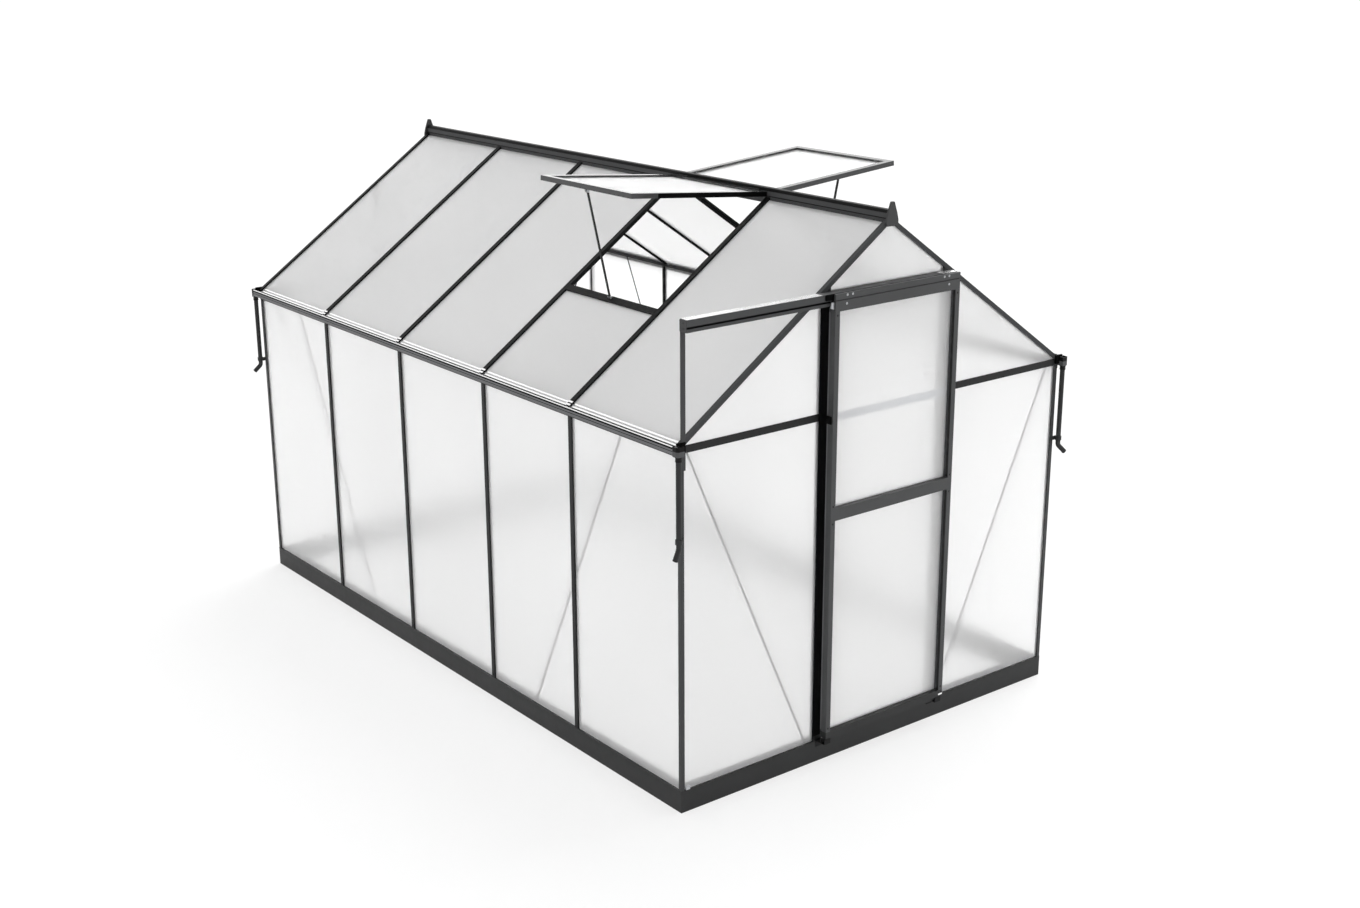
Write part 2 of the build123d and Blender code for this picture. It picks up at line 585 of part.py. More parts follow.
def gables():
    """Posts, bars, panes and braces of the front and back walls."""
    front = -HALF_LENGTH
    back = front + WALL_BAR_DEPTH
    slot_front = front + WALL_CAP_DEPTH
    slot_back = slot_front + SLOT
    slot_deep = WALL_BAR_DEPTH - WALL_ROOT
    beneath = under_roof(RAFTER_DEPTH, front, back)

    post = block(-DOOR_POST_OUTER, -DOOR_CLEAR_WIDTH / 2, front, back, BASE_HEIGHT, RIDGE_HEIGHT)
    post -= block(-DOOR_POST_OUTER, slot_deep - DOOR_POST_OUTER, slot_front, slot_back,
                  BASE_HEIGHT, RIDGE_HEIGHT)
    post &= beneath
    head = block(-DOOR_CLEAR_WIDTH / 2, DOOR_CLEAR_WIDTH / 2, front, back, TRACK_BOTTOM, TRACK_TOP)
    head -= block(-DOOR_CLEAR_WIDTH / 2, DOOR_CLEAR_WIDTH / 2, slot_front, slot_back,
                  TRACK_TOP - slot_deep, TRACK_TOP)

    corner_face = CORNER_DEPTH - HALF_WIDTH
    front_bar = gable_bar(corner_face, -DOOR_POST_OUTER)

    pane_left = WALL_ROOT + EDGE_PLAY - HALF_WIDTH
    pane_door = slot_deep - EDGE_PLAY - DOOR_POST_OUTER
    floor = BASE_HEIGHT + SEAT_GAP
    under_bar = GABLE_BAR_HEIGHT - NECK_WIDTH / 2 - EDGE_PLAY
    over_bar = GABLE_BAR_HEIGHT + NECK_WIDTH / 2 + EDGE_PLAY
    side_panes = [
        gable_pane(pane_left, pane_door, floor, under_bar),
        gable_pane(pane_left, pane_door, over_bar, RIDGE_HEIGHT),
    ]
    apex_half = DOOR_CLEAR_WIDTH / 2 - EDGE_PLAY
    apex = gable_pane(-apex_half, apex_half, TRACK_TOP - slot_deep + EDGE_PLAY, RIDGE_HEIGHT)
    ridge_gap = block(-RIDGE_HALF - EDGE_PLAY, RIDGE_HALF + EDGE_PLAY, front, back,
                      RIDGE_HEIGHT - RIDGE_SIDE_DROP - EDGE_PLAY, RIDGE_HEIGHT)
    apex -= ridge_gap

    back_post_x = BACK_POST_SPACING / 2
    upright = bar_section(WALL_CAP_WIDTH, WALL_CAP_DEPTH, WALL_FLANGE_WIDTH, WALL_FIN_WIDTH)
    back_post = Pos(-back_post_x, -front) * along_z(upright, BASE_HEIGHT, RIDGE_HEIGHT)
    back_post &= under_roof(RAFTER_DEPTH, -back, -front)
    post_face = back_post_x + WALL_CAP_WIDTH / 2
    inner_face = back_post_x - WALL_CAP_WIDTH / 2
    back_bars = to_back([gable_bar(corner_face, -post_face), gable_bar(-inner_face, inner_face)])
    post_edge = NECK_WIDTH / 2 + EDGE_PLAY
    outer_edge = -back_post_x - post_edge
    middle_edge = back_post_x - post_edge
    back_side = to_back([
        gable_pane(pane_left, outer_edge, floor, under_bar),
        gable_pane(pane_left, outer_edge, over_bar, RIDGE_HEIGHT),
    ])
    back_middle = to_back([
        gable_pane(-middle_edge, middle_edge, floor, under_bar),
        gable_pane(-middle_edge, middle_edge, over_bar, RIDGE_HEIGHT) - ridge_gap,
    ])

    brace_top = GABLE_BAR_HEIGHT
    top = -HALF_WIDTH + GABLE_BRACE_TOP_INSET
    foot = -DOOR_POST_OUTER - GABLE_BRACE_FOOT_GAP
    spread = BRACE_WIDTH / 2 / math.sin(math.atan2(brace_top - BASE_HEIGHT, foot - top))
    slant = outline([
        (foot - spread, BASE_HEIGHT),
        (foot + spread, BASE_HEIGHT),
        (top + spread, brace_top),
        (top - spread, brace_top),
    ])
    brace = along_y(slant, back, back + BRACE_THICK)
    front_braces = [brace] + to_right([brace])
    return {
        "door_posts": [post] + to_right([post]),
        "gable_head_bar": [head],
        "front_eave_bars": [front_bar] + to_right([front_bar]),
        "front_wall_panes": side_panes + to_right(side_panes) + [apex],
        "back_wall_posts": [back_post] + to_right([back_post]),
        "back_eave_bars": back_bars + to_right(back_bars[:1]),
        "back_wall_panes": back_side + to_right(back_side) + back_middle,
        "gable_braces": front_braces + to_back(front_braces),
    }


def door_track():
    """Slotted box track over the door, the strut under its free end and the floor guides."""
    section = rect(TRACK_FRONT, -HALF_LENGTH, TRACK_BOTTOM, TRACK_TOP)
    section -= rect(TRACK_FRONT + TRACK_SHEET, -HALF_LENGTH - TRACK_SHEET,
                    TRACK_BOTTOM + TRACK_SHEET, TRACK_TOP - TRACK_SHEET)
    groove = TRACK_BOTTOM + TRACK_LIP
    section -= rect(TRACK_FRONT, TRACK_FRONT + TRACK_SHEET, groove, groove + TRACK_GROOVE)
    track = along_x(section, -HALF_WIDTH, TRACK_RIGHT_END)

    strut = block(-HALF_WIDTH, STRUT_WIDTH - HALF_WIDTH, -HALF_LENGTH - STRUT_THICK, -HALF_LENGTH,
                  PLATE_TOP - STRUT_LAP, TRACK_BOTTOM)

    fin_middle = DOOR_FRONT + DOOR_DEEP / 2
    wall_in = FIN_GUIDE_THICK / 2 + GUIDE_SIDE_CLEAR
    wall_out = wall_in + GUIDE_SHEET
    base_face = -HALF_LENGTH - BASE_PROUD
    guide_floor = DOOR_BOTTOM - FIN_GUIDE_TALL - GUIDE_FLOOR_CLEAR
    floor_low = guide_floor - GUIDE_SHEET
    profile = rect(fin_middle - wall_out, base_face, floor_low, guide_floor)
    profile += rect(fin_middle - wall_out, fin_middle - wall_in, floor_low, floor_low + GUIDE_WALL_TALL)
    profile += rect(fin_middle + wall_in, fin_middle + wall_out, floor_low, floor_low + GUIDE_WALL_TALL)
    profile += rect(base_face - GUIDE_SHEET, base_face, guide_floor - GUIDE_FOOT_TALL, guide_floor)
    guide = along_x(profile, -DOOR_HALF, GUIDE_LENGTH - DOOR_HALF)
    return {
        "door_track": [track],
        "track_strut": [strut],
        "door_bottom_guides": [guide] + to_right([guide]),
    }


def door():
    """Sliding door: frame, two panes, hanger band and the rollers inside the track."""
    pane_front = DOOR_FRONT + DOOR_PANE_SETBACK
    slot_front = pane_front - PANE_PLAY
    slot_back = slot_front + SLOT
    rail_top = DOOR_BOTTOM + BOTTOM_RAIL_TALL
    mid_top = MID_RAIL_BOTTOM + MID_RAIL_TALL
    head_low = DOOR_TOP - TOP_RAIL_TALL
    shelf = TRACK_BOTTOM - TRACK_CLEAR
    inner = DOOR_HALF - STILE_WIDTH
    deep = DOOR_SLOT_DEPTH

    stile = block(-DOOR_HALF, -inner, DOOR_FRONT, DOOR_BACK, rail_top, head_low)
    stile -= block(-inner - deep, -inner, slot_front, slot_back, rail_top, head_low)

    fin_middle = DOOR_FRONT + DOOR_DEEP / 2
    bottom = rect(DOOR_FRONT, DOOR_BACK, DOOR_BOTTOM, rail_top)
    bottom -= rect(slot_front, slot_back, rail_top - deep, rail_top)
    bottom += rect(fin_middle - FIN_GUIDE_THICK / 2, fin_middle + FIN_GUIDE_THICK / 2,
                   DOOR_BOTTOM - FIN_GUIDE_TALL, DOOR_BOTTOM)
    bottom_rail = along_x(bottom, -DOOR_HALF, DOOR_HALF)

    mid = rect(DOOR_FRONT, DOOR_BACK, MID_RAIL_BOTTOM, mid_top)
    mid -= rect(slot_front, slot_back, mid_top - deep, mid_top)
    mid -= rect(slot_front, slot_back, MID_RAIL_BOTTOM, MID_RAIL_BOTTOM + deep)
    mid_rail = along_x(mid, -inner, inner)

    top = rect(DOOR_FRONT, DOOR_FRONT + TOP_RAIL_DEEP, head_low, DOOR_TOP)
    top += rect(DOOR_FRONT, DOOR_BACK, head_low, shelf)
    top -= rect(slot_front, slot_back, head_low, head_low + deep)
    top_rail = along_x(top, -DOOR_HALF, DOOR_HALF)

    hanger = block(-DOOR_HALF, DOOR_HALF, DOOR_FRONT, DOOR_FRONT + HANGER_DEEP,
                   DOOR_TOP, DOOR_TOP + HANGER_TALL)
    hanger -= block(-DOOR_HALF, DOOR_HALF, DOOR_FRONT, DOOR_FRONT + HANGER_GROOVE,
                    DOOR_TOP, DOOR_TOP + HANGER_GROOVE)

    pane_half = inner + deep - EDGE_PLAY
    panes = []
    for low, high in ((rail_top, MID_RAIL_BOTTOM), (mid_top, head_low)):
        panes.append(block(-pane_half, pane_half, pane_front, pane_front + PANE_THICK,
                           low - deep + EDGE_PLAY, high + deep - EDGE_PLAY))

    bar_middle = GABLE_BAR_HEIGHT
    stiffener = block(-inner, inner, slot_back, DOOR_BACK,
                      bar_middle - STIFFENER_TALL / 2, bar_middle + STIFFENER_TALL / 2)

    axle_z = TRACK_BOTTOM + TRACK_LIP + TRACK_GROOVE / 2
    wheel_radius = axle_z - TRACK_BOTTOM - TRACK_SHEET - SEAT_GAP
    wheel_middle = TRACK_FRONT + TRACK_DEEP / 2
    axle_start = DOOR_FRONT + TOP_RAIL_DEEP
    wheel_start = wheel_middle - ROLLER_THICK / 2
    wheel_end = wheel_middle + ROLLER_THICK / 2
    spin = outline([
        (0, axle_start),
        (AXLE_RADIUS, axle_start),
        (AXLE_RADIUS, wheel_start),
        (wheel_radius, wheel_start),
        (wheel_radius, wheel_middle - ROLLER_GROOVE),
        (wheel_radius - ROLLER_GROOVE, wheel_middle),
        (wheel_radius, wheel_middle + ROLLER_GROOVE),
        (wheel_radius, wheel_end),
        (0, wheel_end),
    ])
    roller = Pos(ROLLER_INSET - DOOR_HALF, 0, axle_z) * revolve(spin, Axis.Y)
    return {
        "door_stiles": [stile] + to_right([stile]),
        "door_bottom_rail": [bottom_rail],
        "door_mid_rail": [mid_rail],
        "door_top_rail": [top_rail],
        "door_hanger": [hanger],
        "door_panes": panes,
        "door_stiffener": [stiffener],
        "door_rollers": [roller] + to_right([roller]),
    }


nodes = {}
for group in (base_rails, corner_posts, side_walls, eaves, ridge, roof, vents, gables, door_track, door):
    nodes.update(group())

os.makedirs("parts", exist_ok=True)
for name, shapes in nodes.items():
    solids = [solid for shape in shapes for solid in shape.solids()]
    placed = [Pos(0, PLAN_SHIFT, 0) * solid for solid in solids]
    export_step(Compound(children=placed), f"parts/{name}.step")
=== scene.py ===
import json
import math
from collections import namedtuple

import bmesh
import bpy
from mathutils import Matrix, Vector


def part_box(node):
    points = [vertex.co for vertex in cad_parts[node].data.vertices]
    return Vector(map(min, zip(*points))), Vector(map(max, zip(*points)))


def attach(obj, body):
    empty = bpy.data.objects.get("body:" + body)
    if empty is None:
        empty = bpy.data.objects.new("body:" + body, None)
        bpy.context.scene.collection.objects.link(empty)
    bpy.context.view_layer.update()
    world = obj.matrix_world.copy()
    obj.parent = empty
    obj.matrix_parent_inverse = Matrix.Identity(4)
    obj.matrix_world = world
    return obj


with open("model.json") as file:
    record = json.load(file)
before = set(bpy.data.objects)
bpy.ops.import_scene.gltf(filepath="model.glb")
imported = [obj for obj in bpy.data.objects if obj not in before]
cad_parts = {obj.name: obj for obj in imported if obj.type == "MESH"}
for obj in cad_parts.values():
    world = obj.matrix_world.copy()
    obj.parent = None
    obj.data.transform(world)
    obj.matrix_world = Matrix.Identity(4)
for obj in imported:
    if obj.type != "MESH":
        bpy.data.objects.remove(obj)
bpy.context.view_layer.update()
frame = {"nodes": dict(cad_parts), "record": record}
NODES = frame["nodes"]
MM = 0.001
SIDES = ((-1, "left"), (1, "right"))
MIDDLE_Y = (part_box("base_front_rail")[0][1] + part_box("base_back_rail")[1][1]) / 2


# Materials

def new_material(name):
    m = bpy.data.materials.new(name)
    m.use_nodes = True
    tree = m.node_tree
    return m, tree, tree.nodes["Principled BSDF"]


def noise(tree, scale, detail, shift):
    """A noise pattern fixed to the object, moved along by shift so that no two materials look alike."""
    coords = tree.nodes.new("ShaderNodeTexCoord")
    mapping = tree.nodes.new("ShaderNodeMapping")
    mapping.inputs["Location"].default_value = (shift, shift * 0.7, -shift)
    tex = tree.nodes.new("ShaderNodeTexNoise")
    tex.inputs["Scale"].default_value = scale
    tex.inputs["Detail"].default_value = detail
    tree.links.new(coords.outputs["Object"], mapping.inputs["Vector"])
    tree.links.new(mapping.outputs["Vector"], tex.inputs["Vector"])
    return tex.outputs["Fac"]


def ramp(tree, source, stops):
    """A colour ramp over source, stops as (place, colour)."""
    node = tree.nodes.new("ShaderNodeValToRGB")
    elements = node.color_ramp.elements
    while len(elements) < len(stops):
        elements.new(0.5)
    for element, (place, colour) in zip(elements, stops):
        element.position = place
        element.color = (*colour, 1.0)
    tree.links.new(source, node.inputs["Fac"])
    return node


def span(tree, source, low, high):
    """source, taken from 0..1, spread over low..high."""
    node = tree.nodes.new("ShaderNodeMapRange")
    node.inputs["To Min"].default_value = low
    node.inputs["To Max"].default_value = high
    tree.links.new(source, node.inputs["Value"])
    return node.outputs["Result"]


def bump(tree, bsdf, source, strength, distance):
    node = tree.nodes.new("ShaderNodeBump")
    node.inputs["Strength"].default_value = strength
    node.inputs["Distance"].default_value = distance
    tree.links.new(source, node.inputs["Height"])
    tree.links.new(node.outputs["Normal"], bsdf.inputs["Normal"])


def grey(low, high, cool=1.0):
    """Two neighbouring tones of the same grey, slightly cool unless cool is 0."""
    green, blue = 1 + 0.02 * cool, 1 + 0.05 * cool
    return [(tone, tone * green, tone * blue) for tone in (low, high)]


def coat(name, gloss, shift, shine, grain=900.0):
    """A coat without its tone: roughness that drifts over gloss, and a fine orange-peel grain."""
    m, tree, bsdf = new_material(name)
    drift = noise(tree, scale=34.0, detail=5.0, shift=shift + 3.0)
    tree.links.new(span(tree, drift, *gloss), bsdf.inputs["Roughness"])
    peel = noise(tree, scale=grain, detail=2.0, shift=shift + 7.0)
    bump(tree, bsdf, peel, strength=0.12, distance=0.12 * MM)
    bsdf.inputs["Specular IOR Level"].default_value = shine
    return m, tree, bsdf


def painted(name, tones, gloss, shift, shine=0.3, grain=900.0, metal=0.0):
    """A coat whose tone drifts slowly between two greys."""
    m, tree, bsdf = coat(name, gloss, shift, shine, grain)
    dark, light = tones
    slow = noise(tree, scale=2.6, detail=3.0, shift=shift)
    tone = ramp(tree, slow, [(0.3, dark), (0.7, light)])
    tree.links.new(tone.outputs["Color"], bsdf.inputs["Base Color"])
    bsdf.inputs["Metallic"].default_value = metal
    return m


def banded(name, node, axis, bands, shift):
    """A coat in bands across a node, bands as (millimetres from the node's low end, tone from there on); the
    bands paint light and shade, dark bands as painted shade and lighter ones as painted light.
    """
    m, tree, bsdf = coat(name, gloss=(0.45, 0.58), shift=shift, shine=0.15)
    low, high = [corner["XYZ".index(axis)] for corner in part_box(node)]
    coords = tree.nodes.new("ShaderNodeTexCoord")
    split = tree.nodes.new("ShaderNodeSeparateXYZ")
    tree.links.new(coords.outputs["Object"], split.inputs["Vector"])
    share = tree.nodes.new("ShaderNodeMapRange")
    share.inputs["From Min"].default_value = low
    share.inputs["From Max"].default_value = high
    tree.links.new(split.outputs[axis], share.inputs["Value"])
    stops = [(start * MM / (high - low), grey(tone, tone)[0]) for start, tone in bands]
    zones = ramp(tree, share.outputs["Result"], stops)
    zones.color_ramp.interpolation = "CONSTANT"
    tree.links.new(zones.outputs["Color"], bsdf.inputs["Base Color"])
    return m


def sheet(name, tone, clear, milk, rough, shift):
    """Translucent twin-wall sheet: frosted, part milky, with a slow drift of clearness."""
    m, tree, bsdf = new_material(name)
    bsdf.inputs["Base Color"].default_value = (tone, tone, tone, 1.0)
    bsdf.inputs["IOR"].default_value = 1.1
    bsdf.inputs["Transmission Weight"].default_value = clear
    drift = 0.06
    slow = noise(tree, scale=1.7, detail=2.0, shift=shift)
    tree.links.new(span(tree, slow, rough - drift, rough + drift), bsdf.inputs["Roughness"])
    glow = tree.nodes.new("ShaderNodeBsdfTranslucent")
    glow.inputs["Color"].default_value = (tone, tone, tone, 1.0)
    mix = tree.nodes.new("ShaderNodeMixShader")
    mix.inputs["Fac"].default_value = milk
    tree.links.new(bsdf.outputs["BSDF"], mix.inputs[1])
    tree.links.new(glow.outputs["BSDF"], mix.inputs[2])
    tree.links.new(mix.outputs["Shader"], tree.nodes["Material Output"].inputs["Surface"])
    return m


FRAME_PAINT = painted("anthracite_coat", grey(0.011, 0.015), gloss=(0.4, 0.54), shift=1.0, shine=0.22)
# The next four are copies of the one anthracite frame paint in other tones: the roof bars' coat darker as
# painted shade, the corner, vent and door coats lighter as painted light
ROOF_SHADED_PAINT = painted("roof_bar_shaded_coat", grey(0.004, 0.006), gloss=(0.45, 0.6), shift=51.0, shine=0.12)
POST_LIT_PAINT = painted("corner_lit_coat", grey(0.036, 0.044), gloss=(0.38, 0.52), shift=17.0)
VENT_LIT_PAINT = painted("vent_lit_coat", grey(0.036, 0.044), gloss=(0.08, 0.14), shift=29.0, shine=0.5)
DOOR_LIT_PAINT = painted("door_lit_coat", grey(0.05, 0.06), gloss=(0.38, 0.52), shift=19.0)
GUTTER_PAINT = painted("gutter_coat", grey(0.115, 0.135), gloss=(0.34, 0.46), shift=71.0)
BASE_PAINT = painted("base_sheet_coat", grey(0.018, 0.024), gloss=(0.42, 0.56), shift=11.0)
PLASTIC = painted("dark_moulding", grey(0.004, 0.006), gloss=(0.45, 0.6), shift=23.0,
                  shine=0.2, grain=1400.0)
# Black rubber, also used for dark strips that paint shade
RUBBER_AND_PAINTED_SHADE = painted("black_rubber_and_painted_shade", grey(0.002, 0.003), gloss=(0.7, 0.85), shift=41.0,
                 shine=0.05, grain=1800.0)
BARE = painted("mill_aluminium", grey(0.5, 0.6), gloss=(0.34, 0.5), shift=31.0,
               grain=700.0, metal=0.85)
ZINC = painted("brace_strip", grey(0.03, 0.05), gloss=(0.4, 0.55), shift=47.0, grain=700.0)
# Bright silver, also used for strips that paint highlights
SILVER_AND_PAINTED_HIGHLIGHT = painted("silver_and_painted_highlight", grey(0.93, 0.96, cool=0.0), gloss=(0.2, 0.28), shift=37.0,
                 shine=0.5, grain=700.0, metal=0.85)
PALE = painted("pale_bar", grey(0.68, 0.76), gloss=(0.4, 0.55), shift=43.0, grain=700.0)

RAFTER_RUN = (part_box("gable_rafters")[1][1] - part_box("gable_rafters")[0][1]) / MM
# Ridge bar in bands up from its foot: grey, a black band as painted shade in the groove, a lighter grey side
# as painted light, and a black crest as painted shade
RIDGE_LIGHT_AND_SHADE_BANDS = [(0, 0.05), (23, 0.002), (27.5, 0.06), (44, 0.002)]
RIDGE_LIGHT_AND_SHADE = banded("ridge_light_and_shade_coat", "ridge_bar", "Z", RIDGE_LIGHT_AND_SHADE_BANDS, shift=61.0)
# Track in greys lighter than the frame paint as painted light, with a black band 12 to 18.5 mm up as painted
# shade in its groove
TRACK_LIGHT_AND_SHADE = banded("track_light_and_shade_coat", "door_track", "Z", [(0, 0.058), (12, 0.002), (18.5, 0.062)], shift=63.0)
# Gutter end caps grey up to 18.5 mm and black above, the black a painted shade inside the caps
CAP_PAINTED_SHADE = banded("gutter_cap_shade_coat", "gutter_end_caps", "Z", [(0, 0.085), (18.5, 0.003)], shift=67.0)
# Front rafters lighter than the frame paint as painted light, back rafters black as painted shade
RAFTER_LIGHT_AND_SHADE = banded("rafter_light_and_shade_coat", "gable_rafters", "Y", [(0, 0.047), (RAFTER_RUN / 2, 0.005)], shift=73.0)

SHEET = sheet("twin_wall_sheet", tone=0.995, clear=0.89, milk=0.28, rough=0.46, shift=5.0)
# Copy of the sheet in a darker tone, a painted shade on both roof slopes
ROOF_SHADED_SHEET = sheet("roof_sheet_painted_shade", tone=0.86, clear=0.6, milk=0.35, rough=0.5, shift=15.0)
VENT_SHEET = sheet("vent_sheet", tone=0.995, clear=0.92, milk=0.15, rough=0.58, shift=35.0)
DOOR_SHEET = sheet("door_sheet", tone=0.995, clear=0.8, milk=0.46, rough=0.58, shift=25.0)

BY_SLOT = {"frame": FRAME_PAINT, "base": BASE_PAINT, "trim": PLASTIC, "bare_metal": BARE, "glazing": SHEET}
OWN_LOOK = (
    (ROOF_SHADED_PAINT, "left_roof_bars", "right_roof_bars", "vent_sills"),
    (RIDGE_LIGHT_AND_SHADE, "ridge_bar"),
    (RAFTER_LIGHT_AND_SHADE, "gable_rafters"),
    (POST_LIT_PAINT, "corner_posts", "track_strut", "ridge_finials"),
    (VENT_LIT_PAINT, "left_vent_frame", "right_vent_frame"),
    (GUTTER_PAINT, "left_gutter", "right_gutter"),
    (CAP_PAINTED_SHADE, "gutter_end_caps"),
    (BASE_PAINT, "downpipes", "door_bottom_rail"),
    (TRACK_LIGHT_AND_SHADE, "door_track"),
    (DOOR_LIT_PAINT, "door_stiles", "door_mid_rail", "door_top_rail", "door_hanger"),
    (PALE, "door_stiffener"),
    (ZINC, "side_wall_braces", "gable_braces"),
    (ROOF_SHADED_SHEET, "left_roof_panes", "right_roof_panes"),
    (VENT_SHEET, "vent_panes"),
    (DOOR_SHEET, "door_panes"),
)
for part in frame["record"]["subparts"]:
    mesh = NODES[part["node"]].data
    mesh.materials.clear()
    mesh.materials.append(BY_SLOT[part["material_slot"]])
for look, *nodes in OWN_LOOK:
    for node in nodes:
        NODES[node].data.materials[0] = look


# Places, in house millimetres with the middle of the plan as the origin

Box = namedtuple("Box", "left right front back bottom top")


def at(x, y, z):
    """A house point in the frame."""
    return Vector((x * MM, y * MM + MIDDLE_Y, z * MM))


def box_of(node):
    """A node's box in house millimetres."""
    low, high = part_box(node)
    y0, y1 = [(corner[1] - MIDDLE_Y) / MM for corner in (low, high)]
    return Box(low[0] / MM, high[0] / MM, y0, y1, low[2] / MM, high[2] / MM)


def islands(node):
    """Corner points of each separate solid in a node, from the front to the back."""
    mesh = NODES[node].data
    parent = {}

    def find(k):
        while parent[k] != k:
            parent[k] = parent[parent[k]]
            k = parent[k]
        return k

    keys = [tuple(round(c, 5) for c in v.co) for v in mesh.vertices]
    for k in keys:
        parent.setdefault(k, k)
    for e in mesh.edges:
        a, b = find(keys[e.vertices[0]]), find(keys[e.vertices[1]])
        parent[a] = b
    groups = {}
    for k in parent:
        groups.setdefault(find(k), []).append(Vector(k))
    return sorted(groups.values(), key=lambda group: min(p.y for p in group))


def up_from(node, side):
    """Upward normal of a node's largest face on one side of the house."""
    faces = [face for face in NODES[node].data.polygons if face.center.x * side > 0]
    normal = max(faces, key=lambda face: face.area).normal
    return normal.copy() if normal.z > 0 else -normal


def ends_y(points):
    return min(p.y for p in points), max(p.y for p in points)


TRACK = box_of("door_track")
STILES = box_of("door_stiles")
MID_RAIL = box_of("door_mid_rail")
TOP_RAIL = box_of("door_top_rail")
BOTTOM_RAIL = box_of("door_bottom_rail")
HANGER = box_of("door_hanger")
DOOR_POSTS = box_of("door_posts")
GUTTER = box_of("right_gutter")
BASE = box_of("base_front_rail")
SUNK = 0.1  # how deep a small piece sits in the face that carries it


# Shapes for the small pieces

def piece(name, bm, body, material, smooth=False):
    """Makes an object of bm in material, moving with body."""
    mesh = bpy.data.meshes.new(name)
    bmesh.ops.recalc_face_normals(bm, faces=bm.faces[:])
    bm.to_mesh(mesh)
    bm.free()
    mesh.materials.append(material)
    if smooth:
        mesh.polygons.foreach_set("use_smooth", [True] * len(mesh.polygons))
        mesh.set_sharp_from_angle(angle=math.radians(35))
    ob = bpy.data.objects.new(name, mesh)
    bpy.context.scene.collection.objects.link(ob)
    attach(ob, body)


def side_axes(axis):
    """axis as a unit vector, and two more square to it."""
    upright = 0.9
    axis = Vector(axis).normalized()
    near = Vector((0, 0, 1)) if abs(axis.z) < upright else Vector((1, 0, 0))
    u = near.cross(axis).normalized()
    return axis, u, axis.cross(u)


def loops(bm, rows):
    """Skin of quads over equal closed rows of points, with both ends filled."""
    made = [[bm.verts.new(p) for p in row] for row in rows]
    count = len(rows[0])
    for low, high in zip(made, made[1:]):
        for i in range(count):
            j = (i + 1) % count
            bm.faces.new((low[i], low[j], high[j], high[i]))
    bm.faces.new(made[0][::-1])
    bm.faces.new(made[-1])


def bar(bm, outline, shift):
    """Closed outline of points, drawn out along shift."""
    loops(bm, [outline, [p + shift for p in outline]])


def lathe(bm, foot, axis, profile, count):
    """Turned solid with count sides: profile as (radius, height) in millimetres from foot along axis."""
    axis, u, v = side_axes(axis)
    turns = [2 * math.pi * i / count for i in range(count)]
    loops(bm, [[foot + (axis * height + (u * math.cos(a) + v * math.sin(a)) * radius) * MM for a in turns]
               for radius, height in profile])


def screw(bm, foot, axis, radius, height):
    """Pan head with a cross recess, its rings as shares of radius and height."""
    dome_shares = ((1.0, 0.0), (1.0, 0.35), (0.9, 0.75), (0.74, 1.0))
    arm_share, half_share, recess_share = 0.6, 0.15, 0.25
    axis, u, v = side_axes(axis)
    arm, half = arm_share * radius, half_share * radius
    cross = []
    for cu, cv in ((1, 0), (0, 1), (-1, 0), (0, -1)):
        du, dv = -cv, cu
        cross += [(arm * cu - half * du, arm * cv - half * dv), (arm * cu + half * du, arm * cv + half * dv),
                  (half * cu + half * du, half * cv + half * dv)]
    angles = [math.atan2(b, a) for a, b in cross]

    def ring(r, h):
        return [foot + (axis * h + u * (r * math.cos(a)) + v * (r * math.sin(a))) * MM for a in angles]

    def plus(h):
        return [foot + (axis * h + u * a + v * b) * MM for a, b in cross]

    dome = [ring(r * radius, h * height) for r, h in dome_shares]
    loops(bm, dome + [plus(height), plus(recess_share * height)])


def hex_bolt(bm, foot, axis, across, height):
    """Hexagon head with chamfered corners on a round washer, as shares of its width and height."""
    washer_shares = ((0.78, 0.0), (0.78, 0.22), (0.72, 0.28))
    head_shares = ((0.577, 0.2), (0.577, 0.85), (0.5, 1.0), (0.2, 0.97))
    for shares, count in ((washer_shares, 18), (head_shares, 6)):
        lathe(bm, foot, axis, [(r * across, h * height) for r, h in shares], count)


def block(bm, x, y, z, bevel, segments=2):
    """Box with rounded edges, x, y and z as its two ends in house millimetres, in any order."""
    ends = [at(*[pick(pair) for pair in (x, y, z)]) for pick in (min, max)]
    made = bmesh.ops.create_cube(bm, size=1.0)["verts"]
    for v in made:
        v.co = Vector([ends[v.co[i] > 0][i] for i in range(3)])
    edges = list({e for v in made for e in v.link_edges})
    bmesh.ops.bevel(bm, geom=edges, offset=bevel * MM, segments=segments, affect="EDGES", clamp_overlap=True)


# Eaves and gutters

